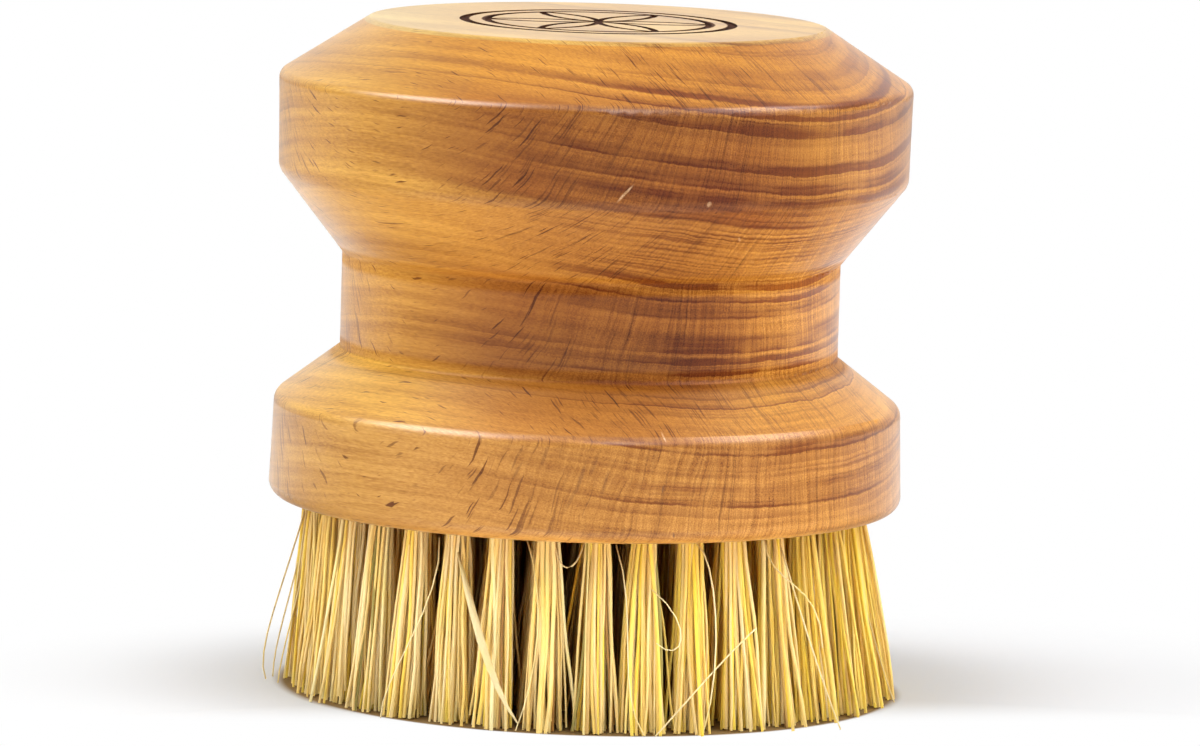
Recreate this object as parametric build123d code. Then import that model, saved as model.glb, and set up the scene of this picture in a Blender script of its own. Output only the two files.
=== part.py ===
from build123d import *

import math
import os

# Round wooden palm brush, standing on its bristle tips.
# The origin is the centre of the tips' plane, and +Z points up through the handle.
# Lengths are in millimetres and angles in degrees.

# Handle: the turned outline, from the flat top down to the drilled underside
top_face_diameter = 50.2
shoulder_height = 6.3
rim_diameter = 69.8
rim_height = 10.5
rim_draw_in = 0.2
undercut_height = 9.1
neck_diameter = 55.0
neck_height = 10.6
flare_height = 5.4
base_diameter = 70.0
base_height = 11.1
base_draw_in = 0.4

# Handle: radii of the sanded edges
top_edge_radius = 0.8
rim_top_radius = 1.2
rim_bottom_radius = 2.0
neck_corner_radius = 0.6
base_top_radius = 1.6
base_bottom_radius = 1.5

# Handle: the burnt ornament, a compass-drawn rosette inside a plain ring
burn_depth = 0.25
border_diameter = 30.6
border_line_width = 1.0
rosette_diameter = 25.0
rosette_line_width = 0.7
rosette_petals = 6

# Drilled holes: rings that share one spacing, with six more holes in each ring
ring_count = 6
holes_added_per_ring = 6
base_edge_to_outer_holes = 5.3
hole_diameter = 2.9
hole_depth = 10.0
drill_point_angle = 118
first_hole_angle = 3

# Anchors: short flat wires that hold each folded tuft in its hole
anchor_thickness = 0.3
anchor_width = 1.6
anchor_bite = 0.4
hole_end_to_anchor = 1.4
anchor_clearance = 0.02

# Tufts: a bundle packed into its hole, spreading into strands below the wood
bristle_length = 20.8
tuft_clearance = 0.05
fold_to_hole_end = 0.3
fold_radius = 1.0
collar_length = 2.0
strand_embed = 1.0
tip_trim = 0.5
gap_between_tips = 0.35
outward_spread_share = 0.065

# Strand patterns: sides, strands round the bundle and in its middle, and shares of its radius
outer_pattern = {"sides": 4, "around": 4, "middle": 1, "place_share": 0.64, "size_share": 0.36}
inner_pattern = {"sides": 3, "around": 3, "middle": 0, "place_share": 0.52, "size_share": 0.42}

# How far a cutting tool runs past the face that it opens
overrun = 1.0

# Levels
base_bottom_z = bristle_length
base_top_z = base_bottom_z + base_height
neck_bottom_z = base_top_z + flare_height
neck_top_z = neck_bottom_z + neck_height
rim_bottom_z = neck_top_z + undercut_height
rim_top_z = rim_bottom_z + rim_height
top_z = rim_top_z + shoulder_height

# Sizes that follow
hole_radius = hole_diameter / 2
drill_point_height = hole_radius / math.tan(math.radians(drill_point_angle / 2))
ring_spacing = (base_diameter / 2 - base_edge_to_outer_holes) / ring_count
root_radius = hole_radius - tuft_clearance
tip_radius = (ring_spacing - gap_between_tips) / 2
anchor_top = hole_depth - hole_end_to_anchor
anchor_middle = anchor_top - anchor_width / 2

from_below = (Align.CENTER, Align.CENTER, Align.MIN)


def turned_blank():
    """The handle as it leaves the lathe: its outline spun about the middle."""
    outline = [
        (0, top_z),
        (top_face_diameter / 2, top_z),
        (rim_diameter / 2, rim_top_z),
        (rim_diameter / 2 - rim_draw_in, rim_bottom_z),
        (neck_diameter / 2, neck_top_z),
        (neck_diameter / 2, neck_bottom_z),
        (base_diameter / 2 - base_draw_in, base_top_z),
        (base_diameter / 2, base_bottom_z),
        (0, base_bottom_z),
    ]
    edge_radii = [
        top_edge_radius,
        rim_top_radius,
        rim_bottom_radius,
        neck_corner_radius,
        neck_corner_radius,
        base_top_radius,
        base_bottom_radius,
    ]
    side = FilletPolyline(*outline, radius=edge_radii)
    middle = Line(side @ 1, side @ 0)
    return revolve(Plane.XZ * make_face([side, middle]), Axis.Z)


def ring_line(radius, width):
    """A flat ring whose line of the given width runs just inside the radius."""
    return Circle(radius) - Circle(radius - width)


def ornament():
    """The burnt recess in the top face: a border ring round a six-petal rosette."""
    rosette_radius = rosette_diameter / 2
    petal_arc = ring_line(rosette_radius + rosette_line_width / 2, rosette_line_width)
    petal_arcs = [place * petal_arc for place in PolarLocations(rosette_radius, rosette_petals)]
    petals = (Sketch() + petal_arcs) & Circle(rosette_radius)
    drawing = petals + ring_line(rosette_radius, rosette_line_width)
    drawing += ring_line(border_diameter / 2, border_line_width)
    return extrude(Pos(0, 0, top_z - burn_depth) * drawing, burn_depth + overrun)


def anchor(clearance=0):
    """A flat wire lying across the hole, a little proud of its wall at both ends."""
    length = hole_diameter + 2 * anchor_bite
    wire = Box(
        anchor_thickness + 2 * clearance,
        length + 2 * clearance,
        anchor_width + 2 * clearance,
    )
    return Pos(0, 0, anchor_middle) * wire


def hole():
    """One blind hole with its drill point and the two notches that its anchor bites."""
    bore = Pos(0, 0, -overrun) * Cylinder(hole_radius, hole_depth + overrun, align=from_below)
    point = Pos(0, 0, hole_depth) * Cone(hole_radius, 0, drill_point_height, align=from_below)
    return bore + point + anchor(anchor_clearance)


def strand(place, turn, pattern, lean):
    """One strand from inside the collar down past the tips' plane, leaning outwards."""
    stretch = tip_radius / root_radius
    start_size = root_radius * pattern["size_share"]
    sides = pattern["sides"]
    start = Pos(place.X, place.Y, strand_embed - collar_length)
    end = Pos(place.X * stretch + lean, place.Y * stretch, -bristle_length - tip_trim)
    sections = [
        start * Rot(0, 0, turn) * RegularPolygon(start_size, sides),
        end * Rot(0, 0, turn) * RegularPolygon(start_size * stretch, sides),
    ]
    return loft(sections, ruled=True)


def tuft(pattern, lean):
    """A bundle folded over its anchor, packed in its hole and spread to flat-cut tips."""
    fold_end = hole_depth - fold_to_hole_end
    root = Cylinder(root_radius, fold_end + collar_length, align=from_below)
    root = fillet(root.edges().sort_by(Axis.Z)[-1], fold_radius)
    root = Pos(0, 0, -collar_length) * root - anchor(anchor_clearance)
    strands = []
    half_step = 180 / pattern["around"]
    for place in PolarLocations(root_radius * pattern["place_share"], pattern["around"], half_step):
        turn = 0 if pattern["middle"] else place.orientation.Z
        strands.append(strand(place.position, turn, pattern, lean))
    for _ in range(pattern["middle"]):
        strands.append(strand(Vector(0, 0, 0), 0, pattern, lean))
    return split(root + strands, Plane.XY.offset(-bristle_length), keep=Keep.TOP)


def ring_places(ring):
    """The hole mouths of one ring, counted from the middle, as places on the underside."""
    count = max(ring * holes_added_per_ring, 1)
    first = first_hole_angle - 90
    step = 360 / count
    return [
        Rot(0, 0, first + number * step) * Pos(ring * ring_spacing, 0, base_bottom_z)
        for number in range(count)
    ]


def write(name, solids):
    """One STEP file for each node, holding its solid or its group of solids."""
    export_step(Compound(label=name, children=solids), f"parts/{name}.step")


os.makedirs("parts", exist_ok=True)
rings = range(ring_count + 1)
drilled = [place * hole() for ring in rings for place in ring_places(ring)]
handle = turned_blank() - ornament() - drilled
write("handle", [handle.solid()])

strand_total = 0
for ring in rings:
    places = ring_places(ring)
    outermost = ring == ring_count
    pattern = outer_pattern if outermost else inner_pattern
    bundle = tuft(pattern, ring * ring_spacing * outward_spread_share)
    tufts = [place * bundle.solid() for place in places]
    anchors = [place * anchor().solid() for place in places]
    strand_total += len(places) * (pattern["around"] + pattern["middle"])
    if outermost:
        for number, solid in enumerate(tufts, start=1):
            write(f"tuft_outer_{number:02}", [solid])
    else:
        write(f"tufts_ring_{ring}" if ring else "tuft_centre", tufts)
    write(f"anchors_ring_{ring}" if ring else "anchor_centre", anchors)
print("strands in all:", strand_total)
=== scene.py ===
import math
from types import SimpleNamespace

import bpy
import numpy as np
from mathutils import Matrix, Vector


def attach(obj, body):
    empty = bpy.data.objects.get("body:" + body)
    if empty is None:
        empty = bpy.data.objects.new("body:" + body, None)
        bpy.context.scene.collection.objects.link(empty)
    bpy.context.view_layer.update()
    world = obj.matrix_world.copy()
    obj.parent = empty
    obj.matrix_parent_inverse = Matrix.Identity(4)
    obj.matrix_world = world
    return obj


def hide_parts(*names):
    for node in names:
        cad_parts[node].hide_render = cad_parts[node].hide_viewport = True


# Palm brush of turned wood, standing on its plant-fibre tips.
# Places and sizes are in metres, apart from those of the wood's figure, which are in
# millimetres. The origin is the centre of the tips' plane, +Z is up and the camera
# looks along +Y.

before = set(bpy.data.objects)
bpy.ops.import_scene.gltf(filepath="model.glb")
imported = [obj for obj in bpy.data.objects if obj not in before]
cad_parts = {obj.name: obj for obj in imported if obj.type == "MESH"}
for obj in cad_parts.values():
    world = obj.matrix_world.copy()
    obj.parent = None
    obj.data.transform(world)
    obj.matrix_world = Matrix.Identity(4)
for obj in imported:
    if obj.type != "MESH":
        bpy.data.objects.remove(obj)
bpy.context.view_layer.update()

MM = 0.001

# Sizes of the drilled underside, as the frame has them
BASE_BOTTOM = 20.8 * MM
RING_COUNT = 6
HOLES_PER_RING = 6
RING_SPACING = 4.95 * MM
HOLE_DEPTH = 10.0 * MM
FIRST_HOLE_ANGLE = math.radians(3 - 90)

draw = np.random.default_rng(8)


# Small helpers for materials

def paint(red, green, blue):
    """A colour by its display values from 0 to 255, as the linear RGBA that shaders take."""
    channels = []
    for value in (red, green, blue):
        share = value / 255
        linear = share / 12.92 if share <= 0.04045 else ((share + 0.055) / 1.055) ** 2.4
        channels.append(linear)
    return (*channels, 1.0)


def new_material(name):
    """A node material emptied down to its shader and output."""
    material = bpy.data.materials.new(name)
    material.use_nodes = True
    tree = material.node_tree
    return material, tree, tree.nodes["Principled BSDF"]


def set_finish(shader, finish):
    """The shader's settings that are the same all over a surface."""
    for name, value in finish.items():
        shader.inputs[name].default_value = value


def add(tree, kind, inputs=None, **settings):
    """One node, with its settings, and its inputs given as values or as sockets to link."""
    made = tree.nodes.new(kind)
    for name, value in settings.items():
        setattr(made, name, value)
    for name, value in (inputs or {}).items():
        if isinstance(value, bpy.types.NodeSocket):
            tree.links.new(value, made.inputs[name])
        else:
            made.inputs[name].default_value = value
    return made


def calc(tree, operation, first, *others):
    """Math on sockets or numbers, carried along the row where there are more than two."""
    if not others:
        return add(tree, "ShaderNodeMath", {0: first}, operation=operation).outputs[0]
    for other in others:
        first = add(tree, "ShaderNodeMath", {0: first, 1: other}, operation=operation).outputs[0]
    return first


def ramp(tree, value, low, high, to_low=0.0, to_high=1.0, shape="SMOOTHSTEP"):
    """A value eased from one range to another, and held at both ends."""
    inputs = {"Value": value, "From Min": low, "From Max": high, "To Min": to_low, "To Max": to_high}
    return add(tree, "ShaderNodeMapRange", inputs, interpolation_type=shape).outputs[0]


def plateau(tree, value, start, full, still_full, end):
    """1 between two edges of a value and 0 outside them, eased at both."""
    rising = ramp(tree, value, start, full)
    falling = ramp(tree, value, end, still_full)
    return calc(tree, "MULTIPLY", rising, falling)


def blend_colour(tree, share, first, second, how="MIX"):
    """Two colours mixed by a share."""
    made = add(tree, "ShaderNodeMix", data_type="RGBA", blend_type=how)
    for name, value in (("Factor_Float", share), ("A_Color", first), ("B_Color", second)):
        socket = next(s for s in made.inputs if s.identifier == name)
        if isinstance(value, bpy.types.NodeSocket):
            tree.links.new(value, socket)
        else:
            socket.default_value = value
    return next(s for s in made.outputs if s.identifier == "Result_Color")


def tinted(tree, colour, share, tint):
    """A colour multiplied by a tint, as far as a share from 0 to 1 says."""
    return blend_colour(tree, share, colour, (*tint, 1), "MULTIPLY")


def noise(tree, spot, scale=1.0, detail=2.0, roughness=0.5):
    """Smooth noise from 0 to 1 over a vector."""
    inputs = {"Vector": spot, "Scale": scale, "Detail": detail, "Roughness": roughness}
    return add(tree, "ShaderNodeTexNoise", inputs).outputs["Fac"]


def vector(tree, x, y, z):
    """A vector from three sockets or numbers."""
    return add(tree, "ShaderNodeCombineXYZ", {"X": x, "Y": y, "Z": z}).outputs[0]


def separated(tree, spot):
    """The three coordinates of a vector."""
    return add(tree, "ShaderNodeSeparateXYZ", {0: spot}).outputs[:]


def mapped(tree, spot, scale, turn=0.0):
    """A vector scaled, and then turned about Z."""
    inputs = {"Vector": spot, "Rotation": (0, 0, turn), "Scale": scale}
    return add(tree, "ShaderNodeMapping", inputs).outputs[0]


def length(tree, spot):
    return add(tree, "ShaderNodeVectorMath", {0: spot}, operation="LENGTH").outputs["Value"]


def distance(tree, spot, middle):
    inputs = {0: spot, 1: middle}
    return add(tree, "ShaderNodeVectorMath", inputs, operation="DISTANCE").outputs["Value"]


# Camera, at the photograph's angle

AIM = Vector((1.32, 0.0, 34.9)) * MM
DISTANCE = 943 * MM
PITCH = math.radians(7.21)
ROLL = math.radians(1.71)
SENSOR_WIDTH = 36
FOCAL_LENGTH = 256.05
NEAREST_SEEN = 0.01
FARTHEST_SEEN = 20


def photo_camera():
    """The camera, aimed at the middle of the brush and rolled as the photograph is."""
    look = Vector((0, math.cos(PITCH), -math.sin(PITCH)))
    level_right = Vector((1, 0, 0))
    level_up = level_right.cross(look)
    right = level_right * math.cos(ROLL) + level_up * math.sin(ROLL)
    up = level_up * math.cos(ROLL) - level_right * math.sin(ROLL)
    turn = Matrix((right, up, -look)).transposed().to_4x4()
    bpy.ops.object.select_all(action="DESELECT")
    bpy.ops.object.camera_add()
    camera = bpy.context.object
    camera.name = "photo_camera"
    camera.matrix_world = Matrix.Translation(AIM - look * DISTANCE) @ turn
    camera.data.sensor_width = SENSOR_WIDTH
    camera.data.lens = FOCAL_LENGTH
    camera.data.clip_start = NEAREST_SEEN
    camera.data.clip_end = FARTHEST_SEEN
    return camera


bpy.context.scene.camera = photo_camera()
bpy.context.scene.view_settings.view_transform = "Standard"


# Floor

FLOOR_WIDTH = 12
FLOOR_WHITE = (0.9, 0.9, 0.9, 1)
FLOOR_IN_SHADOW = (0.667, 0.677, 0.69, 1)
FLOOR_FINISH = {"Roughness": 0.9, "Specular IOR Level": 0.0}

# the polish mirrors a dim floor in front of the brush and a white one behind it
MIRRORED_IN_FRONT = (0.15, 0.15, 0.15, 1)
MIRRORED_WHITE_FROM = (0.0, 0.1)

# the circle that the tips stand in, with a painted brown shadow round it and a thin line of contact
TIPS_MIDDLE = (0.9 * MM, 0, 0)
TIPS_REACH = 33.5 * MM
PAINTED_SHADOW_WIDTH = 1.7 * MM
CONTACT_WIDTH = 0.8 * MM
SHADOW_PAINTED_UNDER_TIPS = (0.27, 0.18, 0.08, 1)

# the shadow: an oval, slanted a little, and cut off in front of the tips
SHADOW_SLANT = 0.19
SHADOW_MIDDLE = (8 * MM, 2 * MM)
SHADOW_REACH = (82 * MM, 56 * MM)
SHADOW_FADES = (0.4, 1.05)
FRONT_FADES = (-10 * MM, -26 * MM)
RIGHT_SHADOW = (10 * MM, 40 * MM)
RIGHT_SHADOW_TINT = (0.92, 0.92, 0.92)
CLOSE_SHADOW = (56 * MM, 38 * MM)
CLOSE_SHADOW_TINT = (0.93, 0.93, 0.93)


def seen_directly(tree):
    """1 for rays that see the background as it is, straight or through something clear."""
    path = add(tree, "ShaderNodeLightPath").outputs
    return calc(tree, "MAXIMUM", path["Is Camera Ray"], path["Is Transmission Ray"])


def pale_floor():
    """White, with a soft oval shadow about the tips and a thin painted brown shadow where they stand.
    """
    material, tree, shader = new_material("pale_floor")
    rays = add(tree, "ShaderNodeLightPath").outputs
    spot = add(tree, "ShaderNodeTexCoord").outputs["Object"]
    sideways, depth, _ = separated(tree, spot)
    away = length(tree, spot)
    from_tips = distance(tree, spot, TIPS_MIDDLE)

    behind = ramp(tree, depth, *MIRRORED_WHITE_FROM)
    mirrored = blend_colour(tree, behind, MIRRORED_IN_FRONT, FLOOR_WHITE)
    unseen = blend_colour(tree, rays["Is Glossy Ray"], FLOOR_WHITE, mirrored)
    # painted shadow: the floor is brown under the tips and fades to its own tone just past them
    clear = ramp(tree, from_tips, TIPS_REACH, TIPS_REACH + PAINTED_SHADOW_WIDTH)
    seen = blend_colour(tree, clear, SHADOW_PAINTED_UNDER_TIPS, FLOOR_IN_SHADOW)
    seen = tinted(tree, seen, ramp(tree, sideways, *RIGHT_SHADOW), RIGHT_SHADOW_TINT)
    seen = tinted(tree, seen, ramp(tree, away, *CLOSE_SHADOW), CLOSE_SHADOW_TINT)
    tone = blend_colour(tree, rays["Is Camera Ray"], unseen, seen)
    tree.links.new(tone, shader.inputs["Base Color"])
    set_finish(shader, FLOOR_FINISH)

    # beyond an oval about the tips, and in front of them, the floor is plain white
    nearer = calc(tree, "SUBTRACT", depth, calc(tree, "MULTIPLY", sideways, SHADOW_SLANT))
    oval = [
        calc(tree, "DIVIDE", calc(tree, "SUBTRACT", axis, middle), size)
        for axis, middle, size in zip((sideways, nearer), SHADOW_MIDDLE, SHADOW_REACH)
    ]
    reach = length(tree, vector(tree, *oval, 0.0))
    outside = ramp(tree, reach, *SHADOW_FADES)
    in_front = ramp(tree, nearer, *FRONT_FADES)
    white = calc(tree, "MAXIMUM", outside, in_front)
    past_tips = ramp(tree, from_tips, TIPS_REACH, TIPS_REACH + CONTACT_WIDTH)
    white = calc(tree, "MULTIPLY", white, seen_directly(tree), past_tips)
    glow = add(tree, "ShaderNodeEmission", {"Color": (1, 1, 1, 1), "Strength": 1.0})
    surface = add(tree, "ShaderNodeMixShader", {0: white, 1: shader.outputs[0], 2: glow.outputs[0]})
    tree.links.new(surface.outputs[0], tree.nodes["Material Output"].inputs["Surface"])
    return material


bpy.ops.mesh.primitive_plane_add(size=FLOOR_WIDTH)
floor = bpy.context.object
floor.name = "floor"
floor.data.materials.append(pale_floor())


# Light and background

ROOM_LIGHT = 0.13
WHITE_BEHIND_FROM = (0.4, 0.85)
BRUSH_MIDDLE = (0, 0, 0.05)

# lamps that give light and aren't mirrored in the polish: place, aim, width, height, watts
LIGHTS = {
    "softbox_left": ((-0.84, -0.1, 0.5), BRUSH_MIDDLE, 0.7, 0.6, 6.2),
    "softbox_right": ((0.84, -0.1, 0.5), BRUSH_MIDDLE, 0.7, 0.6, 7.6),
    "softbox_top": ((0, -0.1, 0.95), BRUSH_MIDDLE, 0.7, 0.6, 8.8),
    "card_near": ((0, -0.073, 0.002), (0, -0.073, 1), 0.4, 0.055, 0.115),
    "card_tips": ((0, -0.056, 0.0025), (0, 0, 0.0025), 0.12, 0.005, 0.0045),
    "card_back": ((0, 0.09, 0.002), (0, 0.09, 1), 0.3, 0.06, 0.06),
    "card_far": ((0, -0.2, 0.002), (0, -0.2, 1), 0.5, 0.2, 0.1),
}

# lamps that only show as highlights in the polish
SHINES = {
    "shine_left": ((-0.665, -0.22, 0.83), BRUSH_MIDDLE, 0.9, 0.5, 19.0),
    "shine_right": ((0.69, -0.1, 0.82), BRUSH_MIDDLE, 0.65, 0.5, 9.0),
    "shine_front": ((0.21, -0.8, 0.8), BRUSH_MIDDLE, 0.3, 0.2, 3.6),
}


def softbox(name, place, aim, width, height, watts):
    """A rectangular studio lamp turned to its aim."""
    bpy.ops.object.light_add(type="AREA", location=place)
    lamp = bpy.context.object
    lamp.name = name
    lamp.data.shape = "RECTANGLE"
    lamp.data.size = width
    lamp.data.size_y = height
    lamp.data.energy = watts
    lamp.rotation_euler = (Vector(aim) - Vector(place)).to_track_quat("-Z", "Y").to_euler()
    return lamp


def studio_room():
    """A plain world, white where it is seen behind the brush and dim in front of it."""
    world = bpy.data.worlds.new("studio")
    bpy.context.scene.world = world
    world.use_nodes = True
    tree = world.node_tree
    room = tree.nodes["Background"]
    room.inputs["Color"].default_value = (1, 1, 1, 1)
    _, behind, _ = separated(tree, add(tree, "ShaderNodeTexCoord").outputs["Generated"])
    mirror = add(tree, "ShaderNodeLightPath").outputs["Is Glossy Ray"]
    mirrored = calc(tree, "MULTIPLY", mirror, ramp(tree, behind, *WHITE_BEHIND_FROM))
    strength = calc(tree, "MAXIMUM", mirrored, seen_directly(tree), ROOM_LIGHT)
    tree.links.new(strength, room.inputs["Strength"])


studio_room()
for name, settings in LIGHTS.items():
    softbox(name, *settings).visible_glossy = False
for name, settings in SHINES.items():
    softbox(name, *settings).visible_diffuse = False


# Wood of the handle: a solid figure with its grain, growth rings and rays. Its sizes are
# in millimetres, and three of them are along the grain, across it and up.

TOP_FACE = 73.8
BURN_FLOOR = 73.55
BORDER_RADIUS = 14.7
ROSETTE_RADIUS = 12.4
ROSETTE_PETALS = 6
CREASE_HEIGHTS = (37.5, 47.7)
CREASE_WIDTH = (0.7, 1.4)

GRAIN_TURN = math.radians(42)
GRAIN_LINE = (math.cos(GRAIN_TURN), -math.sin(GRAIN_TURN), 0)
END_GRAIN_FROM = (0.15, 0.95)

# growth rings: the place of the pith, the width of a year, and where years are narrower
PITH_SIDE = -2.0
PITH_HEIGHT = 157.0
YEAR_WIDTH = 2.2
NARROW_YEARS_FROM = (103.5, 118.5)
NARROW_YEARS_DEPTH = 5.5
NARROW_YEARS = 3.0
UNEVEN_DEPTH = 5
UNEVEN_YEARS = 4.0
FINE_LINES_PER_YEAR = 2.7

# noises that bend the growth rings: cell size and greatest shift
RING_BENDS = [((90, 45, 30), 5.0), ((14, 7, 5), 0.5), ((3, 0.8, 0.6), 0.3)]
RING_BENDS_MIDDLE = 2.5

# late wood and the dark line that ends a year, as shares of it, and a fine line, as shares
# of its own spacing; how dark they are, and how that varies by year and from patch to patch
LATE_BAND = (0.15, 0.75, 0.9, 1.0)
LATE_LINE = (0.72, 0.92, 0.95, 1.0)
FINE_LINE = (0.3, 0.9, 0.94, 1.0)
BAND_DEPTH = 0.75
LINE_DEPTH = 0.5
LEVEL_LINE_DEPTH = 0.28
BOLDNESS = (0.3, 1.4)
RING_PATCHES = (0.3, 0.7, 0.3, 1.2)

# calm rings, darker zones and the dusk about them, by distance from the pith; how deep the
# dusk is, and how much sooner the lower zone fades to the right
CALM_RINGS = (100, 102.5, 109, 111)
DARK_ZONES = [(90, 95, 102.6, 103.8), (109, 111.5, 120.4, 121.8)]
DUSK_RINGS = (88, 94, 120, 124)
DUSK_DEPTH = 0.6
LOWER_ZONE = (108, 112)
LOWER_ZONE_SHIFT = 5

# rays: they fan out from a line above the handle, with noises that bend the fan
RAY_HEIGHT = 130.0
RAY_RADIUS = 80.0
FAN_BENDS = [((9, 6, 9), 2.0, 1.4), ((1.2, 0.8, 1.2), 1.0, 0.1)]

# kinds of ray sheet: cell size, rarity, greatest width, soft edge and depth of colour
SLOPE_RAYS = ((16, 0.6, 16), 0.45, 0.45, 0.07, 0.8)
FAINT_RAYS = ((2.2, 0.14, 6), 0.35, 0.7, 0.2, 0.6)
FINE_RAYS = ((3.6, 0.19, 9), 0.15, 0.6, 0.1, 1.0)
BOLD_RAYS = ((6.5, 0.24, 12), 0.6, 0.42, 0.07, 0.95)
LONG_RAYS_DEPTH = 0.5
LONG_RAYS_FROM = (0.55, 0.75)
SHEET_POINTEDNESS = 1.3
SIDE_GRAIN_WIDTH = 0.58
SIDE_GRAIN_BOLD_RAYS = 0.2
END_GRAIN_RAY_DEPTH = 0.42
SLOPES_FROM = (0.3, 0.6)

# cell sizes of the finer noises
PATCH_CELL = (40, 16, 12)
RING_PATCH_CELL = (16, 8, 3)
LONG_RAY_CELL = (30, 0.5, 40)
HATCH_CELL = (8, 0.22, 12)
WOOD_FIBRE_CELL = (5, 0.14, 0.14)
PORE_CELL = (1.5, 0.11, 0.11)
MOTTLE_CELL = (0.9, 0.16, 0.16)
THIN_LINE_CELL = (0.45, 40, 40)
STREAK_CELL = (1.5, 22, 22)

# what the finer noises do to the shade: their range, and the darkest and lightest that it
# gives; red and blue follow the shade by a power
WOOD_FIBRE_SHADE = (0.25, 0.75, -0.15, 0.15)
THIN_LINE_SHADE = (0.3, 0.7, -0.15, 0.15)
MOTTLE_SHADE = (0.3, 0.7, -0.15, 0.15)
STREAK_SHADE = (0.3, 0.7, -0.18, 0.18)
PORE_SHADE = (0.35, 0.65, -0.26, 0.22)
HATCH_SHADE = (0.3, 0.7, -0.3, 0.2)
RED_SHADE_POWER = 0.7
BLUE_SHADE_POWER = 1.5

# colours of the wood: its two grounds, and what each figure multiplies them by
LIGHT_GROUND = (0.565, 0.267, 0.038, 1)
DEEP_GROUND = (0.44, 0.18, 0.021, 1)
ZONE_TINT = (0.55, 0.36, 0.24)
END_GRAIN_TINT = (0.93, 0.85, 0.76)
LATE_WOOD_TINT = (0.44, 0.27, 0.14)
RAY_TINT = (0.28, 0.15, 0.07)
DENT_COLOUR = (0.85, 0.56, 0.3, 1)
SPECK_COLOUR = (0.15, 0.06, 0.02, 1)
SCORCHED = (paint(52, 27, 15), paint(84, 46, 26))
CHARRED = (paint(44, 22, 12), paint(76, 42, 24))

# painted light and shade, which make places lighter or darker than the wood is: what each
# place multiplies the colour by, and the ranges over which that comes in: of x, of z, of the
# distance aside from the middle, and of level, which is 1 where a face looks straight up; a
# third number is the share where its range starts
PAINTED_LIGHT_TINTS = {
    # painted shade: the base is darker in red and green, and bluer
    "base": ((0.89, 0.9, 1.24), [("z", 33, 31)]),
    # painted light: the flare's upward slopes are lighter towards the sides
    "flare_sides": ((1.36, 1.42, 1.34), [("level", 0.2, 0.6), ("aside", 6, 24), ("z", 50, 45)]),
    # painted light: the left side is paler and yellower
    "left": ((0.99, 1.07, 1.12), [("x", -8, -30)]),
    # painted light: upward faces on the left are lighter still
    "left_slopes": ((1.06, 1.13, 1.12), [("x", -8, -26), ("level", 0.2, 0.5)]),
    # painted light: the right side below the rim is lighter on its steep faces
    "right": ((1.22, 1.26, 1.32), [("x", 8, 24), ("z", 58, 55), ("level", 0.4, 0.1)]),
    # painted light: the upward shoulder is warmer and less blue, less so on the left
    "shoulder": ((1.07, 1.0, 0.54), [("level", 0.5, 0.7), ("z", 60, 62), ("x", -28, -12, 0.4)]),
    # painted light: the sides of the neck are lighter
    "waist": ((1.1, 1.12, 1.1), [("z", 37, 38), ("z", 48, 47), ("aside", 8, 18)]),
    # painted shade: the front of the flare's slope is darker and browner
    "flare_front": ((0.94, 0.82, 0.7), [("level", 0.2, 0.5), ("z", 50, 45), ("aside", 20, 6)]),
    # painted light and reflection: the top face is much paler, most of all in blue
    "top_face": ((1.0, 1.35, 3.6), [("z", TOP_FACE - 0.401, TOP_FACE - 0.399)]),
}

# the ornament: how far the scorch reaches from its lines, how uneven it and the char are,
# and the margins that tell its sunk faces from the rest
ROSETTE_SCORCH = (0.5, 0.7)
BORDER_SCORCH = (0.58, 0.78)
SCORCH_UNEVENNESS = 0.3
SCORCH_NOISE = 2.5
CHAR_NOISE = 1.4
BURN_MARGIN = 0.2
SUNK_FROM = 0.03
BORDER_MARGIN = 0.9

POLISHED_ROUGHNESS = 0.42
BURNT_ROUGHNESS = 0.95
POLISH = 0.8
RAY_RELIEF = -0.6
WOOD_BUMP = {"Strength": 0.3, "Distance": 0.02 * MM}
WOOD_FINISH = {
    "Specular IOR Level": 0.1,
    "Coat Roughness": 0.34,
    "Sheen Weight": 0.07,
    "Sheen Roughness": 0.35,
    "Sheen Tint": (1.0, 0.9, 0.8, 1),
}

# dents and specks on the front: place, slant in degrees, half length, half width and
# strength, which is below 0 for the dark specks
MARKS = [
    ((3.4, -34.6, 58.5), 48, 1.35, 0.15, 0.5),
    ((12.4, -32.4, 57.4), 60, 0.34, 0.26, 0.45),
    ((8.3, -33.4, 32.4), 120, 0.6, 0.11, 0.5),
    ((15.8, -29.6, 53.2), 100, 0.3, 0.16, 0.45),
    ((8.4, -33.9, 26.9), 80, 0.5, 0.12, -0.8),
    ((9.7, -33.6, 21.9), 95, 0.35, 0.14, -0.8),
    ((-4.3, -34.7, 30.2), 72, 1.5, 0.24, -0.32),
    ((-1.4, -34.9, 25.6), 66, 1.7, 0.22, -0.3),
    ((-0.4, -34.9, 27.9), 74, 2.0, 0.26, -0.4),
    ((1.0, -34.9, 29.2), 68, 1.2, 0.2, -0.35),
    ((2.2, -34.9, 27.4), 78, 1.7, 0.2, -0.32),
    ((-7.2, -34.2, 28.4), 62, 1.4, 0.18, -0.35),
]
MARK_DEPTH = 4


def cells(tree, axes, sizes):
    """Coordinates divided by the size that one cell of a pattern has along each of them."""
    return vector(tree, *(calc(tree, "DIVIDE", axis, size) for axis, size in zip(axes, sizes)))


def grain_noise(tree, axes, sizes, detail=2.0, roughness=0.5):
    """Noise with one cell's size given along each of three coordinates."""
    return noise(tree, cells(tree, axes, sizes), 1.0, detail, roughness)


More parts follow.
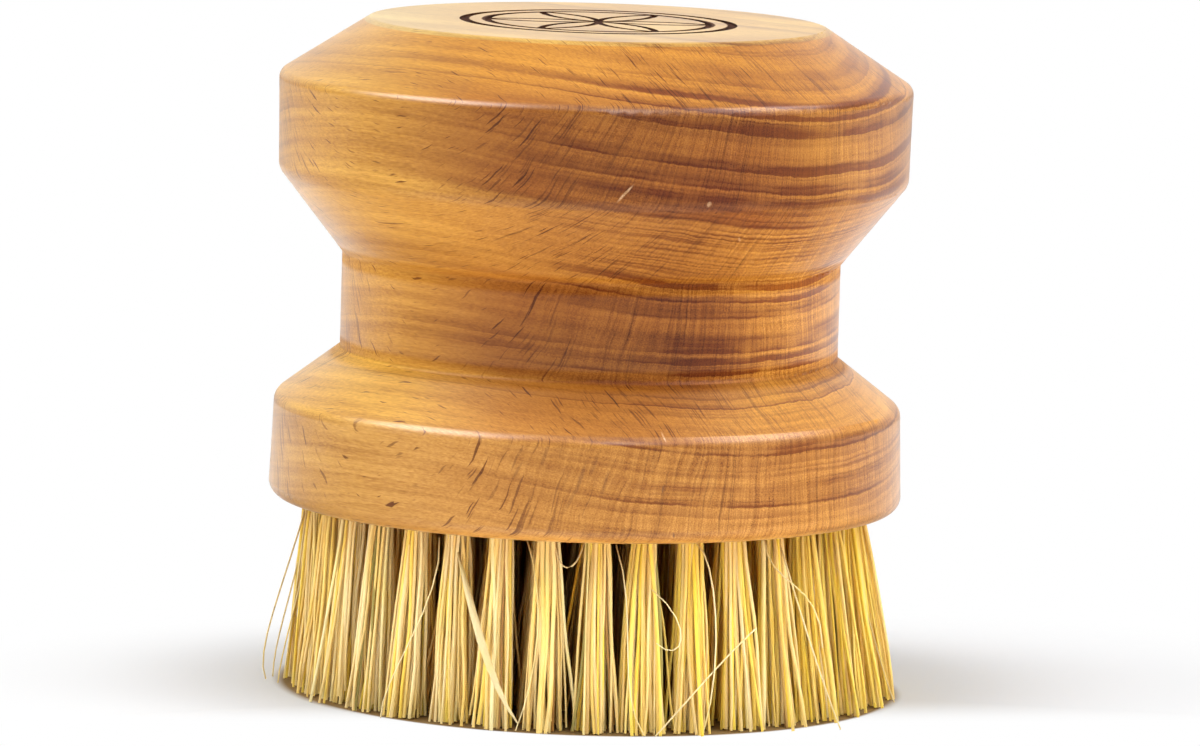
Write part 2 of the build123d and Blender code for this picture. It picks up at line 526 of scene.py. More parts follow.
def wood_places(tree):
    """Where a spot is, on the brush and in the grain, and which way its surface faces."""
    place = add(tree, "ShaderNodeTexCoord").outputs["Object"]
    to_mm = (1 / MM, 1 / MM, 1 / MM)
    spot = mapped(tree, place, to_mm)
    x, y, z = separated(tree, spot)
    along, across, height = separated(tree, mapped(tree, place, to_mm, GRAIN_TURN))
    normal = add(tree, "ShaderNodeNewGeometry").outputs["Normal"]
    inputs = {0: normal, 1: GRAIN_LINE}
    facing = add(tree, "ShaderNodeVectorMath", inputs, operation="DOT_PRODUCT").outputs["Value"]
    rise = separated(tree, normal)[2]
    return SimpleNamespace(
        spot=spot,
        x=x,
        y=y,
        z=z,
        along=along,
        across=across,
        height=height,
        axes=(along, across, height),
        side=calc(tree, "SUBTRACT", across, PITH_SIDE),
        rise=rise,
        level=calc(tree, "MAXIMUM", rise, 0.0),
        end_grain=ramp(tree, calc(tree, "ABSOLUTE", facing), *END_GRAIN_FROM),
    )


def from_pith(tree, at):
    """How far a spot is from the pith, which runs along the grain above the handle."""
    drop = calc(tree, "SUBTRACT", PITH_HEIGHT, at.height)
    squares = calc(
        tree,
        "ADD",
        calc(tree, "MULTIPLY", at.side, at.side),
        calc(tree, "MULTIPLY", drop, drop),
    )
    bend = -RING_BENDS_MIDDLE
    for sizes, shift in RING_BENDS:
        bend = calc(tree, "ADD", bend, calc(tree, "MULTIPLY", grain_noise(tree, at.axes, sizes), shift))
    return calc(tree, "ADD", calc(tree, "SQRT", squares), bend)


def late_wood(tree, at, reach):
    """How dark the growth rings are: the late wood of each year, and the fine lines between."""
    uneven = noise(tree, vector(tree, calc(tree, "DIVIDE", reach, UNEVEN_DEPTH), 0, 0))
    years = calc(
        tree,
        "ADD",
        calc(tree, "DIVIDE", reach, YEAR_WIDTH),
        calc(tree, "MULTIPLY", uneven, UNEVEN_YEARS),
    )
    for start in NARROW_YEARS_FROM:
        more = ramp(tree, reach, start, start + NARROW_YEARS_DEPTH, 0.0, NARROW_YEARS, "LINEAR")
        years = calc(tree, "ADD", years, more)
    season = calc(tree, "FRACT", years)
    band = plateau(tree, season, *LATE_BAND)
    line = plateau(tree, season, *LATE_LINE)

    # some years are bolder than others, and each one comes and goes
    year = calc(tree, "FLOOR", years)
    luck = add(tree, "ShaderNodeTexWhiteNoise", {"W": year}, noise_dimensions="1D").outputs["Value"]
    bold = ramp(tree, luck, 0, 1, *BOLDNESS, "LINEAR")
    coming = grain_noise(tree, (at.along, at.across, reach), RING_PATCH_CELL)
    coming = ramp(tree, coming, *RING_PATCHES)
    late = calc(
        tree,
        "ADD",
        calc(tree, "MULTIPLY", band, BAND_DEPTH),
        calc(tree, "MULTIPLY", line, LINE_DEPTH),
    )
    late = calc(tree, "MULTIPLY", late, bold, coming)
    late = calc(tree, "MULTIPLY", late, ramp(tree, at.end_grain, 0, 1, 0.45, 1.2, "LINEAR"))
    late = calc(tree, "MULTIPLY", late, ramp(tree, at.level, 0.2, 0.8, 1.0, 0.5))
    level_lines = calc(tree, "MULTIPLY", line, bold, at.level, LEVEL_LINE_DEPTH)
    late = calc(tree, "ADD", late, level_lines)

    # stronger high on the handle, fainter in the base, the calm rings and the undercut's right
    calm = plateau(tree, reach, *CALM_RINGS)
    undercut = calc(tree, "MULTIPLY", ramp(tree, at.rise, -0.2, -0.5), ramp(tree, at.x, 4, 14))
    late = calc(tree, "MULTIPLY", late, ramp(tree, reach, 123, 127, 1.0, 0.5))
    late = calc(tree, "MULTIPLY", late, ramp(tree, reach, 97, 100, 1.3, 1.0))
    late = calc(tree, "MULTIPLY", late, ramp(tree, calm, 0, 1, 1.0, 0.5))
    late = calc(tree, "MULTIPLY", late, ramp(tree, undercut, 0, 1, 1.0, 0.5))

    fine = calc(tree, "FRACT", calc(tree, "MULTIPLY", years, FINE_LINES_PER_YEAR))
    fine = calc(tree, "MULTIPLY", plateau(tree, fine, *FINE_LINE), coming, at.end_grain)
    fine = calc(tree, "MULTIPLY", fine, ramp(tree, calm, 0, 1, 0.3, 0.6))
    rightwards = ramp(tree, at.x, -30, 22, 0.4, 1.5)
    return calc(tree, "MULTIPLY", calc(tree, "ADD", late, fine), rightwards)


def ray_fan(tree, at):
    """How far round the fan of the rays a spot is."""
    drop = calc(tree, "SUBTRACT", RAY_HEIGHT, at.height)
    fan = calc(tree, "MULTIPLY", calc(tree, "ARCTAN2", at.side, drop), RAY_RADIUS)
    for sizes, detail, shift in FAN_BENDS:
        bend = grain_noise(tree, at.axes, sizes, detail)
        fan = calc(tree, "ADD", fan, calc(tree, "MULTIPLY", bend, shift))
    return fan


def ray_sheets(tree, at, ray_axes, sizes, rarity, widest, edge):
    """Pointed sheets, one to a cell at most, each with its own width and darkness."""
    inputs = {
        "Vector": cells(tree, ray_axes, sizes),
        "Scale": 1.0,
        "Exponent": SHEET_POINTEDNESS,
    }
    found = add(tree, "ShaderNodeTexVoronoi", inputs, distance="MINKOWSKI").outputs
    lot = add(tree, "ShaderNodeSeparateColor", {0: found["Color"]}).outputs
    width = ramp(tree, lot["Red"], rarity, 1.0, 0.0, widest, "LINEAR")
    width = calc(tree, "MULTIPLY", width, ramp(tree, at.end_grain, 0.0, 0.4, SIDE_GRAIN_WIDTH))
    sheet = ramp(tree, calc(tree, "SUBTRACT", width, found["Distance"]), 0.0, edge)
    return calc(tree, "MULTIPLY", sheet, ramp(tree, lot["Green"], 0, 1, 0.5, 1.0, "LINEAR"))


def dark_zones(tree, at, reach, patch):
    """The two broad darker zones between growth rings, and the dusk between them."""
    zones = calc(tree, "MAXIMUM", *(plateau(tree, reach, *edges) for edges in DARK_ZONES))
    zones = calc(tree, "MULTIPLY", zones, ramp(tree, at.x, -30, -6))
    lower = ramp(tree, reach, *LOWER_ZONE)
    fading = calc(tree, "ADD", at.x, calc(tree, "MULTIPLY", lower, LOWER_ZONE_SHIFT))
    zones = calc(tree, "MULTIPLY", zones, ramp(tree, fading, 16, 29, 1.0, 0.1))
    dusk = plateau(tree, reach, *DUSK_RINGS)
    dusk = calc(tree, "MULTIPLY", dusk, ramp(tree, at.x, 10, 24, 1.0, 0.2))
    dusk = calc(tree, "MULTIPLY", dusk, ramp(tree, at.x, -24, 0, 0, DUSK_DEPTH))
    zones = calc(tree, "MAXIMUM", zones, dusk)
    return calc(tree, "MULTIPLY", zones, ramp(tree, patch, 0.3, 0.7, 1.0, 0.7))


def painted_light_by_place(tree, at, colour):
    """Painted light and shade over the handle's surfaces: each place's colour multiplied by its tint.
    """
    measures = {"x": at.x, "aside": calc(tree, "ABSOLUTE", at.x), "z": at.z, "level": at.level}
    for tint, ranges in PAINTED_LIGHT_TINTS.values():
        shares = [ramp(tree, measures[name], *limits) for name, *limits in ranges]
        colour = tinted(tree, colour, calc(tree, "MULTIPLY", 1.0, *shares), tint)
    return colour


def front_marks(tree, at):
    """How far a spot lies in a pale dent, and in a dark speck."""
    dents, specks = 0.0, 0.0
    for middle, slant, half_length, half_width, strength in MARKS:
        inputs = {
            "Vector": at.spot,
            "Location": middle,
            "Rotation": (0, -math.radians(slant), 0),
            "Scale": (half_length, MARK_DEPTH, half_width),
        }
        mark = add(tree, "ShaderNodeMapping", inputs, vector_type="TEXTURE").outputs[0]
        depth = ramp(tree, length(tree, mark), 0.4, 1.2, abs(strength), 0.0)
        if strength > 0:
            dents = calc(tree, "MAXIMUM", dents, depth)
        else:
            specks = calc(tree, "MAXIMUM", specks, depth)
    return dents, specks


def fine_shade(tree, at, reach, wood_fibre, ray_axes):
    """Light and dark about 1: fibres, thin lines, mottle and streaks, and pores in end grain."""
    ring_axes = (reach, at.along, at.across)
    thin_lines = grain_noise(tree, ring_axes, THIN_LINE_CELL)
    mottle = grain_noise(tree, at.axes, MOTTLE_CELL)
    streaks = grain_noise(tree, ring_axes, STREAK_CELL)
    grain = calc(
        tree,
        "ADD",
        ramp(tree, wood_fibre, *WOOD_FIBRE_SHADE, "LINEAR"),
        ramp(tree, thin_lines, *THIN_LINE_SHADE, "LINEAR"),
        ramp(tree, mottle, *MOTTLE_SHADE, "LINEAR"),
        ramp(tree, streaks, *STREAK_SHADE, "LINEAR"),
    )
    pores = grain_noise(tree, at.axes, PORE_CELL, 1.0)
    hatch = grain_noise(tree, ray_axes, HATCH_CELL, 1.0)
    speckle = calc(
        tree,
        "ADD",
        ramp(tree, pores, *PORE_SHADE, "LINEAR"),
        ramp(tree, hatch, *HATCH_SHADE, "LINEAR"),
    )
    speckle = calc(tree, "MULTIPLY", speckle, at.end_grain)
    return calc(tree, "ADD", grain, speckle, 1.0)


def burnt_lines(tree, at):
    """Where wood is scorched beside the ornament's lines, and where it is sunk and charred."""
    flat = vector(tree, at.x, at.y, 0.0)
    radius = length(tree, flat)

    def from_circle(middle, circle_radius):
        """How far a spot on the top face is from a circle's line."""
        away = calc(tree, "SUBTRACT", distance(tree, flat, middle), circle_radius)
        return calc(tree, "ABSOLUTE", away)

    arcs = []
    for number in range(ROSETTE_PETALS):
        turn = 2 * math.pi * number / ROSETTE_PETALS
        middle = (ROSETTE_RADIUS * math.cos(turn), ROSETTE_RADIUS * math.sin(turn), 0)
        arcs.append(from_circle(middle, ROSETTE_RADIUS))
    rosette = calc(tree, "MINIMUM", *arcs)
    rosette = calc(tree, "MAXIMUM", rosette, calc(tree, "SUBTRACT", radius, ROSETTE_RADIUS))
    rosette = calc(tree, "MINIMUM", rosette, from_circle((0, 0, 0), ROSETTE_RADIUS))
    border = from_circle((0, 0, 0), BORDER_RADIUS)

    uneven = calc(tree, "MULTIPLY", noise(tree, at.spot, SCORCH_NOISE), SCORCH_UNEVENNESS)
    near_top = calc(tree, "GREATER_THAN", at.z, BURN_FLOOR - BURN_MARGIN)
    scorch = calc(
        tree,
        "MAXIMUM",
        ramp(tree, calc(tree, "ADD", rosette, uneven), *ROSETTE_SCORCH, 1.0, 0.0),
        ramp(tree, calc(tree, "ADD", border, uneven), *BORDER_SCORCH, 1.0, 0.0),
    )
    scorch = calc(tree, "MULTIPLY", scorch, near_top)
    below_top = calc(tree, "LESS_THAN", at.z, TOP_FACE - SUNK_FROM)
    inside = calc(tree, "LESS_THAN", radius, BORDER_RADIUS + BORDER_MARGIN)
    return scorch, calc(tree, "MULTIPLY", below_top, near_top, inside)


def beech_turned():
    """The handle's wood, thinly polished, with its burnt ornament and unpolished creases."""
    material, tree, shader = new_material("beech_turned")
    at = wood_places(tree)
    reach = from_pith(tree, at)
    ray_axes = (at.along, ray_fan(tree, at), at.height)
    patch = grain_noise(tree, at.axes, PATCH_CELL)
    wood_fibre = grain_noise(tree, at.axes, WOOD_FIBRE_CELL, 2.0, 0.6)

    colour = blend_colour(tree, patch, LIGHT_GROUND, DEEP_GROUND)
    colour = tinted(tree, colour, dark_zones(tree, at, reach, patch), ZONE_TINT)
    colour = tinted(tree, colour, at.end_grain, END_GRAIN_TINT)
    colour = tinted(tree, colour, late_wood(tree, at, reach), LATE_WOOD_TINT)
    colour = painted_light_by_place(tree, at, colour)

    # rays: thin sheets that stand radially, a few millimetres long along the grain
    long_rays = grain_noise(tree, ray_axes, LONG_RAY_CELL, 3.0, 0.6)
    long_rays = calc(tree, "MULTIPLY", ramp(tree, long_rays, *LONG_RAYS_FROM), at.end_grain)
    steep = ramp(tree, calc(tree, "ABSOLUTE", at.rise), *SLOPES_FROM)
    off_side_grain = ramp(tree, at.end_grain, 0.0, 0.25, SIDE_GRAIN_BOLD_RAYS)
    slope_rays = calc(tree, "MULTIPLY", ray_sheets(tree, at, ray_axes, *SLOPE_RAYS[:4]), steep)
    faint_rays = ray_sheets(tree, at, ray_axes, *FAINT_RAYS[:4])
    fine_rays = ray_sheets(tree, at, ray_axes, *FINE_RAYS[:4])
    bold_rays = ray_sheets(tree, at, ray_axes, *BOLD_RAYS[:4])
    bold_rays = calc(tree, "MULTIPLY", bold_rays, off_side_grain)
    ray_depth = ramp(tree, at.end_grain, 0.25, 0.8, 1.0, END_GRAIN_RAY_DEPTH)
    for rays, depth in (
        (long_rays, LONG_RAYS_DEPTH),
        (slope_rays, SLOPE_RAYS[4]),
        (faint_rays, FAINT_RAYS[4]),
        (fine_rays, FINE_RAYS[4]),
        (bold_rays, BOLD_RAYS[4]),
    ):
        colour = tinted(tree, colour, calc(tree, "MULTIPLY", rays, ray_depth, depth), RAY_TINT)

    dents, specks = front_marks(tree, at)
    colour = blend_colour(tree, dents, colour, DENT_COLOUR)
    colour = blend_colour(tree, specks, colour, SPECK_COLOUR)

    # dark grain turns redder and light grain paler
    shade = fine_shade(tree, at, reach, wood_fibre, ray_axes)
    warmth = vector(
        tree,
        calc(tree, "POWER", shade, RED_SHADE_POWER),
        shade,
        calc(tree, "POWER", shade, BLUE_SHADE_POWER),
    )
    colour = blend_colour(tree, 1.0, colour, warmth, "MULTIPLY")

    scorch, sunk = burnt_lines(tree, at)
    char = ramp(tree, noise(tree, at.spot, CHAR_NOISE), 0.3, 0.7)
    colour = blend_colour(tree, scorch, colour, blend_colour(tree, char, *SCORCHED))
    colour = blend_colour(tree, sunk, colour, blend_colour(tree, char, *CHARRED))

    # polish is missing from the burnt lines and from the creases at both ends of the neck
    burnt = calc(tree, "MAXIMUM", scorch, sunk)
    dull = burnt
    for crease_height in CREASE_HEIGHTS:
        away = calc(tree, "ABSOLUTE", calc(tree, "SUBTRACT", at.z, crease_height))
        dull = calc(tree, "MAXIMUM", dull, ramp(tree, away, *CREASE_WIDTH, 1.0, 0.0))

    tree.links.new(colour, shader.inputs["Base Color"])
    roughness = ramp(tree, burnt, 0, 1, POLISHED_ROUGHNESS, BURNT_ROUGHNESS, "LINEAR")
    tree.links.new(roughness, shader.inputs["Roughness"])
    tree.links.new(ramp(tree, dull, 0, 1, POLISH, 0.0, "LINEAR"), shader.inputs["Coat Weight"])
    set_finish(shader, WOOD_FINISH)
    relief = calc(tree, "ADD", wood_fibre, calc(tree, "MULTIPLY", fine_rays, RAY_RELIEF))
    bump = add(tree, "ShaderNodeBump", {"Height": relief, **WOOD_BUMP})
    tree.links.new(bump.outputs[0], shader.inputs["Normal"])
    return material


# Plant fibre, and the flat wire of the anchors

FIBRE_STREAK_SCALE = (2500, 2500, 200)
FIBRE_CLOUD_SCALE = (260, 260, 110)
WIRE_LINE_SCALE = (900, 900, 9000)
SUNNY_TINT = (0.98, 0.92, 0.45)
SUNNY_SHARE = 0.55
SUNNY_CLOUDS = (0.45, 0.68)
FIBRE_SHADE = (0.3, 0.7, 0.93, 1.04)
# painted shade just below the wood: its tint, and the heights over which it comes in
ROOT_SHADE_TINT = (0.78, 0.68, 0.56)
ROOT_SHADE_FROM = (13 * MM, 21 * MM)
FIBRE_BUMP = {"Strength": 0.2, "Distance": 0.03 * MM}
WIRE_LIGHT = paint(196, 198, 200)
WIRE_DARK = paint(150, 152, 156)
WIRE_ROUGHNESS = (0.25, 0.45)

FIBRE_FINISH = {
    "Roughness": 0.6,
    "Specular IOR Level": 0.1,
    "Sheen Weight": 0.25,
    "Sheen Roughness": 0.6,
    "Sheen Tint": (1.0, 0.8, 0.4, 1),
}


def plant_fibre():
    """Dry fibre in each one's own tint, finely streaked, yellower in clouds, with painted shade that
    makes it darker and browner at the root.
    """
    material, tree, shader = new_material("plant_fibre")
    tint = add(tree, "ShaderNodeAttribute", attribute_name="fibre_tint").outputs["Color"]
    place = add(tree, "ShaderNodeTexCoord").outputs["Object"]
    streaks = noise(tree, mapped(tree, place, FIBRE_STREAK_SCALE))
    shade = ramp(tree, streaks, *FIBRE_SHADE, "LINEAR")
    clouds = noise(tree, mapped(tree, place, FIBRE_CLOUD_SCALE))
    sunny = ramp(tree, clouds, *SUNNY_CLOUDS)
    colour = tinted(tree, tint, calc(tree, "MULTIPLY", sunny, SUNNY_SHARE), SUNNY_TINT)
    # painted shade: the fibres are darker and browner just below the wood, where its overhang shades
    # them
    shaded_near_root = ramp(tree, separated(tree, place)[2], *ROOT_SHADE_FROM)
    colour = tinted(tree, colour, shaded_near_root, ROOT_SHADE_TINT)
    colour = blend_colour(tree, 1.0, colour, vector(tree, shade, shade, shade), "MULTIPLY")
    tree.links.new(colour, shader.inputs["Base Color"])
    set_finish(shader, FIBRE_FINISH)
    bump = add(tree, "ShaderNodeBump", {"Height": shade, **FIBRE_BUMP})
    tree.links.new(bump.outputs[0], shader.inputs["Normal"])
    return material


def anchor_wire():
    """Drawn steel with fine lines."""
    material, tree, shader = new_material("anchor_wire")
    place = add(tree, "ShaderNodeTexCoord").outputs["Object"]
    lines = noise(tree, mapped(tree, place, WIRE_LINE_SCALE), 1.0, 3.0)
    colour = blend_colour(tree, lines, WIRE_LIGHT, WIRE_DARK)
    tree.links.new(colour, shader.inputs["Base Color"])
    tree.links.new(ramp(tree, lines, 0, 1, *WIRE_ROUGHNESS), shader.inputs["Roughness"])
    set_finish(shader, {"Metallic": 1.0})
    return material


# Fibre tufts

FIBRE_SIDES = 5
FIBRE_RUNS = 8
OUTER_FIBRES = 42
INNER_FIBRES = 36
OUTER_HALF_WIDTH = 0.22 * MM
INNER_HALF_WIDTH = 0.21 * MM
HALF_WIDTH_SPREAD = 0.045 * MM
HALF_WIDTH_LIMITS = (0.11 * MM, 0.32 * MM)
FLATNESS = (0.6, 0.95)
WIDTH_UNEVENNESS = 0.02
FIBRE_TAPER = np.linspace(1.0, 0.82, FIBRE_RUNS + 1)

# a tuft from its fold over the anchor, through the hole's mouth, to its tips
FOLD_HEIGHT = BASE_BOTTOM + HOLE_DEPTH - 0.6 * MM
MOUTH_HEIGHT = BASE_BOTTOM + 0.3 * MM
FOLD_SHARE = 0.96
PACKED_RADIUS = 1.22 * MM
PACKED_UNEVENNESS = 0.06 * MM
TIP_RADIUS = 2.35 * MM
TIP_RADIUS_SPREAD = 0.12
LOOSE_SHARE = 0.16
LOOSE_DRIFT = 0.95 * MM
FIRM_DRIFT = 0.25 * MM
TUFT_DRIFT = 0.25 * MM
OUTWARD_LEAN = 0.055
LEAN_TO_THE_RIGHT = 0.03
SPREAD_POWER = 1.12
BOW = 0.22 * MM
KINK = 0.06 * MM
LOWEST_TIP = 0.02 * MM
TIP_UNEVENNESS = 0.11 * MM
SHORT_SHARE = 0.045
SHORT_BY = (0.3 * MM, 1.6 * MM)

STRAW = np.array((0.96, 0.69, 0.25))
YELLOW = np.array((0.96, 0.7, 0.09))
PALE = np.array((0.96, 0.78, 0.42))
BROWN = np.array((0.36, 0.17, 0.05))
OLIVE = np.array((0.38, 0.32, 0.10))
YELLOW_SHARE = 0.25
YELLOW_SHARE_TO_THE_RIGHT = 0.75
BROWN_FROM = 0.97
BROWN_TO_STRAW = 0.7
OLIVE_FROM = 0.988
TINT_UNEVENNESS = 0.045
BRIGHTEST = 0.97
# painted shade: the inner rings' fibres are browner, for the shade in the gaps between the tufts
INNER_PAINTED_SHADE = np.array((1.0, 0.82, 0.58))

# a flat, leaf-like stray fibre narrows to both ends
LEAF_TAPER = np.array((0.3, 0.6, 0.9, 1.05, 1.15, 1.1, 0.9, 0.55, 0.2))
LEAF_FROM_HALF_WIDTH = 0.3
LEAF_SHADE = 0.74
STRAY_SHADE = 0.88

# loose fibres that stand clear of their tufts, in millimetres: outer tuft, half width, points
STRAYS = [
    (28, 0.13, [(-30.4, -2, 20.5), (-32.9, -3, 11.5), (-34.7, -3.6, 4.6), (-34.6, -3.8, 0.2)]),
    (28, 0.11, [(-30.7, -1, 17), (-32.2, -2, 9.8), (-33.4, -2.4, 4.5), (-33.9, -2.6, 0.3)]),
    (28, 0.10, [(-30.3, -4, 15), (-31.5, -5, 9), (-32.6, -5.4, 4), (-33.2, -5.6, 0.1)]),
    (34, 0.42, [(-13.4, -27.8, 18.6), (-11.7, -30.4, 13.0), (-9.4, -33.0, 6.6), (-6.4, -34.6, 1.3)]),
    (36, 0.10, [(-3.0, -30.2, 20.6), (-2.2, -32.0, 18.2), (-0.9, -32.2, 18.2), (0.2, -30.2, 20.6)]),
    (2, 0.08, [(7.6, -31.0, 15.6), (10.6, -33.6, 12.2), (10.4, -34.2, 9.8), (8.2, -33.6, 10.2)]),
    (4, 0.13, [(18.9, -30.0, 11.6), (15.4, -32.0, 8.2), (11.8, -33.6, 4.2), (8.4, -34.6, 0.3)]),
    (5, 0.12, [(21.4, -24.6, 19.6), (23.6, -27.0, 13.2), (26.0, -27.6, 6.5), (28.4, -26.6, 0.3)]),
    (3, 0.10, [(12.2, -29.0, 20.5), (14.0, -30.8, 16.5), (14.6, -32.4, 9.0), (13.6, -33.4, 1.0)]),
    (6, 0.10, [(19.6, -24.2, 20.5), (21.4, -26.0, 17.0), (24.4, -27.0, 14.5), (26.2, -25.6, 9.0)]),
    (33, 0.09, [(-15.4, -27.4, 20.0), (-16.6, -29.4, 13.0), (-19.6, -29.6, 6.0), (-21.2, -28.6, 0.4)]),
    (35, 0.10, [(-6.0, -29.6, 20.5), (-4.6, -32.0, 14.0), (-4.9, -33.6, 7.0), (-6.6, -34.4, 0.4)]),
    (1, 0.11, [(3.6, -30.2, 20.2), (5.0, -32.6, 13.0), (5.4, -34.0, 6.0), (7.2, -34.4, 0.3)]),
    (9, 0.10, [(29.4, -5.6, 16.0), (31.8, -7.0, 9.0), (33.4, -7.4, 4.0), (34.8, -7.6, 0.3)]),
]


def model_fibre():
    """One straight fibre of unit radius and length, with rings to bend at."""
    bpy.ops.object.select_all(action="DESELECT")
    bpy.ops.mesh.primitive_cylinder_add(
        vertices=FIBRE_SIDES, radius=1, depth=1, location=(0, 0, 0.5)
    )
    fibre = bpy.context.object
    bpy.ops.object.transform_apply(location=True, rotation=True, scale=True)
    bpy.ops.object.mode_set(mode="EDIT")
    bpy.ops.mesh.select_all(action="DESELECT")
    bpy.ops.object.mode_set(mode="OBJECT")
    bpy.context.tool_settings.mesh_select_mode = (False, True, False)
    points = fibre.data.vertices
    for edge in fibre.data.edges:
        low, high = (points[i].co.z for i in edge.vertices)
        runs_lengthwise = abs(low - high) > 0.5
        edge.select = runs_lengthwise
    bpy.ops.object.mode_set(mode="EDIT")
    bpy.ops.mesh.subdivide(number_cuts=FIBRE_RUNS - 1)
    bpy.ops.object.mode_set(mode="OBJECT")
    mesh = fibre.data
    spots = np.array([point.co for point in mesh.vertices])
    faces = [list(face.vertices) for face in mesh.polygons]
    bpy.data.objects.remove(fibre)
    bpy.data.meshes.remove(mesh)
    return spots, faces


fibre_spots, fibre_faces = model_fibre()
fibre_ring = np.rint(fibre_spots[:, 2] * FIBRE_RUNS).astype(int)


def bundle(count):
    """Fibres packed in one hole: start and end offsets from its middle line."""
    golden_turn = math.pi * (3 - math.sqrt(5))
    order = np.arange(count) + 0.5
    reach = np.sqrt(order / count) * PACKED_RADIUS
    angle = order * golden_turn + draw.uniform(0, 2 * math.pi)
    start = np.stack([reach * np.cos(angle), reach * np.sin(angle)], axis=1)
    start += draw.normal(0, PACKED_UNEVENNESS, start.shape)
    spread = TIP_RADIUS / PACKED_RADIUS * draw.normal(1.0, TIP_RADIUS_SPREAD, (count, 1))
    drift = np.where(draw.random((count, 1)) < LOOSE_SHARE, LOOSE_DRIFT, FIRM_DRIFT)
    end = start * spread + draw.normal(0, 1, start.shape) * drift
    return start, end


def lines_of(count, ring_radius, angle):
    """The middle lines of one tuft's fibres, as count lines of points from fold to tip."""
    start, end = bundle(count)
    end[:, 0] += ring_radius * (OUTWARD_LEAN + LEAN_TO_THE_RIGHT * math.cos(angle))
    end += draw.normal(0, TUFT_DRIFT, 2)
    tips = np.abs(draw.normal(0, TIP_UNEVENNESS, count)) + LOWEST_TIP
    tips = np.where(draw.random(count) < SHORT_SHARE, tips + draw.uniform(*SHORT_BY, count), tips)
    bow = draw.normal(0, BOW, (count, 2))
    kink = draw.normal(0, KINK, (count, 2))
    share = np.linspace(0, 1, FIBRE_RUNS)[None, :, None]
    bowed = bow[:, None] * (4 * share * (1 - share))
    kinked = kink[:, None] * np.sin(3 * math.pi * share)
    lines = np.zeros((count, FIBRE_RUNS + 1, 3))
    lines[:, 0, :2] = start * FOLD_SHARE
    lines[:, 0, 2] = FOLD_HEIGHT
    lines[:, 1:, :2] = start[:, None] + (end - start)[:, None] * share ** SPREAD_POWER
    lines[:, 1:, :2] += bowed + kinked
    lines[:, 1:, 2] = MOUTH_HEIGHT + (tips - MOUTH_HEIGHT)[:, None] * share[..., 0]

    # from the tuft's own radial and tangential axes to its place in the ring
    cos, sin = math.cos(angle), math.sin(angle)
    radial = lines[:, :, 0] + ring_radius
    tangential = lines[:, :, 1].copy()
    lines[:, :, 0] = radial * cos - tangential * sin
    lines[:, :, 1] = radial * sin + tangential * cos
    return lines


def fibres_along(lines, half_widths, taper=FIBRE_TAPER):
    """The vertices of a fibre laid along each line."""
    count = len(lines)
    heading = np.gradient(lines, axis=1)
    heading /= np.linalg.norm(heading, axis=2, keepdims=True)
    turn = draw.uniform(0, 2 * math.pi, count)
    guide = np.stack([np.cos(turn), np.sin(turn), np.zeros(count)], axis=1)[:, None, :]
    side = guide - heading * np.sum(guide * heading, axis=2, keepdims=True)
    side /= np.linalg.norm(side, axis=2, keepdims=True)
    other = np.cross(heading, side)
    flat = draw.uniform(*FLATNESS, (count, 1))
    uneven = draw.normal(1, WIDTH_UNEVENNESS, (count, len(fibre_ring)))
    size = half_widths[:, None] * taper[fibre_ring][None, :] * uneven
    # the unit fibre is turned end for end, so that its faces still point outwards
    x = -fibre_spots[:, 0][None, :] * size
    y = fibre_spots[:, 1][None, :] * size * flat
    middle = lines[:, fibre_ring]
    return middle + side[:, fibre_ring] * x[..., None] + other[:, fibre_ring] * y[..., None]


def fibre_tints(count, more_yellow):
    """A colour for each fibre: pale straw, some yellower, a few brown or greenish."""
    pick = draw.random(count)[:, None]
    mix = draw.random((count, 1))
    tints = STRAW + (PALE - STRAW) * mix
    tints = np.where(pick < YELLOW_SHARE + more_yellow, STRAW + (YELLOW - STRAW) * mix, tints)
    tints = np.where(pick > BROWN_FROM, BROWN + (STRAW - BROWN) * mix * BROWN_TO_STRAW, tints)
    tints = np.where(pick > OLIVE_FROM, OLIVE, tints)
    return np.clip(tints * draw.normal(1, TINT_UNEVENNESS, (count, 1)), 0, BRIGHTEST)


def stray(points):
    """A loose fibre's middle line: a smooth curve through its points, given in millimetres."""
    points = np.array(points) * MM
    knots = np.linspace(0, 1, len(points))
    power = np.polyfit(knots, points, len(points) - 1)
    at = np.linspace(0, 1, FIBRE_RUNS + 1)
    return np.stack([np.polyval(power[:, axis], at) for axis in range(3)], axis=1)


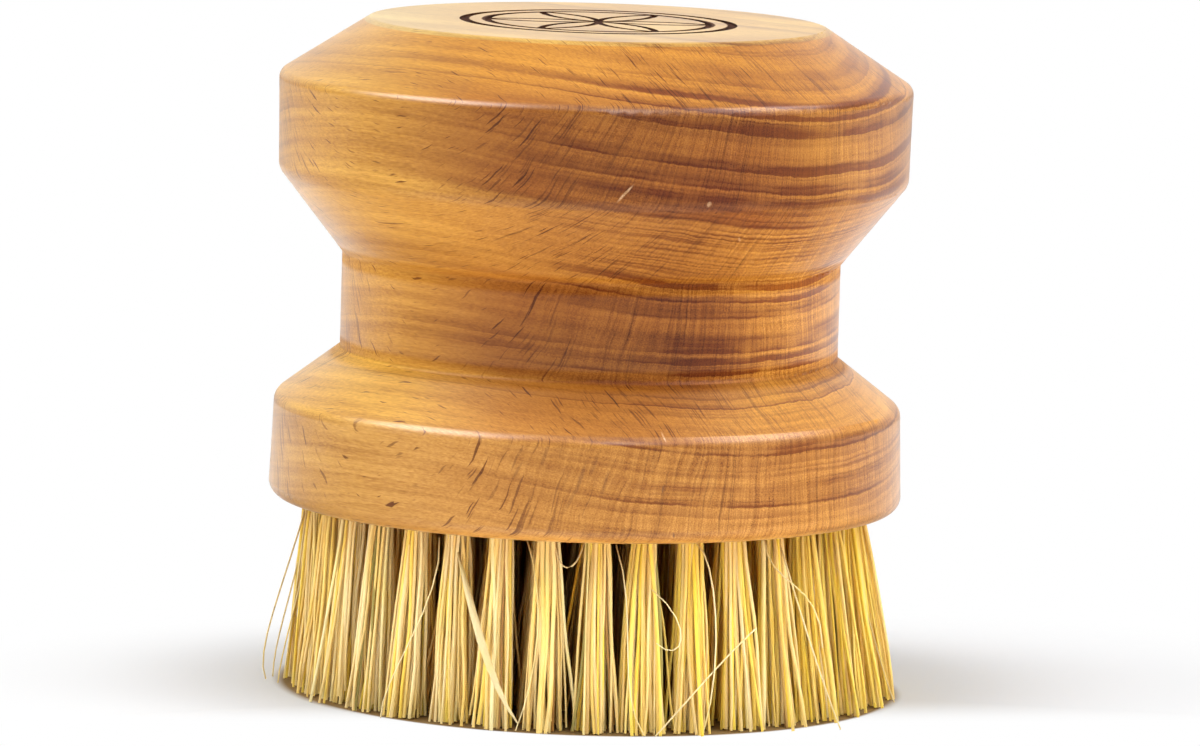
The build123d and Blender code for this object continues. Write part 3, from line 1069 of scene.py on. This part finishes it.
def make_tufts(name, places, count, half_width, shade=1.0, strays=()):
    """One piece of fibre tufts at the given (ring radius, angle) places."""
    all_spots, all_tints = [], []
    for ring_radius, angle in places:
        lines = lines_of(count, ring_radius, angle)
        half_widths = draw.normal(half_width, HALF_WIDTH_SPREAD, count)
        all_spots.append(fibres_along(lines, np.clip(half_widths, *HALF_WIDTH_LIMITS)))
        more_yellow = YELLOW_SHARE_TO_THE_RIGHT * max(math.cos(angle), 0)
        all_tints.append(fibre_tints(count, more_yellow) * shade)
    for stray_half_width, points in strays:
        leaf = stray_half_width > LEAF_FROM_HALF_WIDTH
        taper = LEAF_TAPER if leaf else FIBRE_TAPER
        line = stray(points)[None]
        all_spots.append(fibres_along(line, np.array([stray_half_width * MM]), taper))
        all_tints.append(PALE[None] * (LEAF_SHADE if leaf else STRAY_SHADE))
    spots = np.concatenate(all_spots)
    tints = np.concatenate(all_tints)
    total, per = spots.shape[:2]
    faces = [[i + per * n for i in face] for n in range(total) for face in fibre_faces]
    mesh = bpy.data.meshes.new(name)
    mesh.from_pydata(spots.reshape(-1, 3).tolist(), [], faces)
    mesh.update()
    tint = mesh.color_attributes.new("fibre_tint", "FLOAT_COLOR", "POINT")
    values = np.ones((total * per, 4), np.float32)
    values[:, :3] = np.repeat(tints, per, axis=0)
    tint.data.foreach_set("color", values.ravel())
    # the four-sided faces are the fibres' walls, and the rest are their flat ends
    mesh.polygons.foreach_set("use_smooth", [len(face.vertices) == 4 for face in mesh.polygons])
    piece = bpy.data.objects.new(name, mesh)
    bpy.context.scene.collection.objects.link(piece)
    return piece


def ring_places(ring):
    """The hole mouths of one ring, counted from the middle, as (ring radius, angle)."""
    count = max(ring * HOLES_PER_RING, 1)
    step = 2 * math.pi / count
    return [(ring * RING_SPACING, FIRST_HOLE_ANGLE + step * n) for n in range(count)]


fibre_material = plant_fibre()
for number, place in enumerate(ring_places(RING_COUNT), start=1):
    strays = [rest for tuft, *rest in STRAYS if tuft == number]
    name = f"fibres_outer_{number:02}"
    piece = make_tufts(name, [place], OUTER_FIBRES, OUTER_HALF_WIDTH, strays=strays)
    piece.data.materials.append(fibre_material)
    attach(piece, "root")
    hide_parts(f"tuft_outer_{number:02}")
for ring in range(RING_COUNT):
    name = f"fibres_ring_{ring}" if ring else "fibres_centre"
    piece = make_tufts(name, ring_places(ring), INNER_FIBRES, INNER_HALF_WIDTH, INNER_PAINTED_SHADE)
    piece.data.materials.append(fibre_material)
    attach(piece, "root")
    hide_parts(f"tufts_ring_{ring}" if ring else "tuft_centre")

# Better finishes for the frame's own nodes
wood_material = beech_turned()
wire_material = anchor_wire()
for name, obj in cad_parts.items():
    if name == "handle":
        obj.data.materials.clear()
        obj.data.materials.append(wood_material)
    elif name.startswith("anchor"):
        obj.data.materials.clear()
        obj.data.materials.append(wire_material)
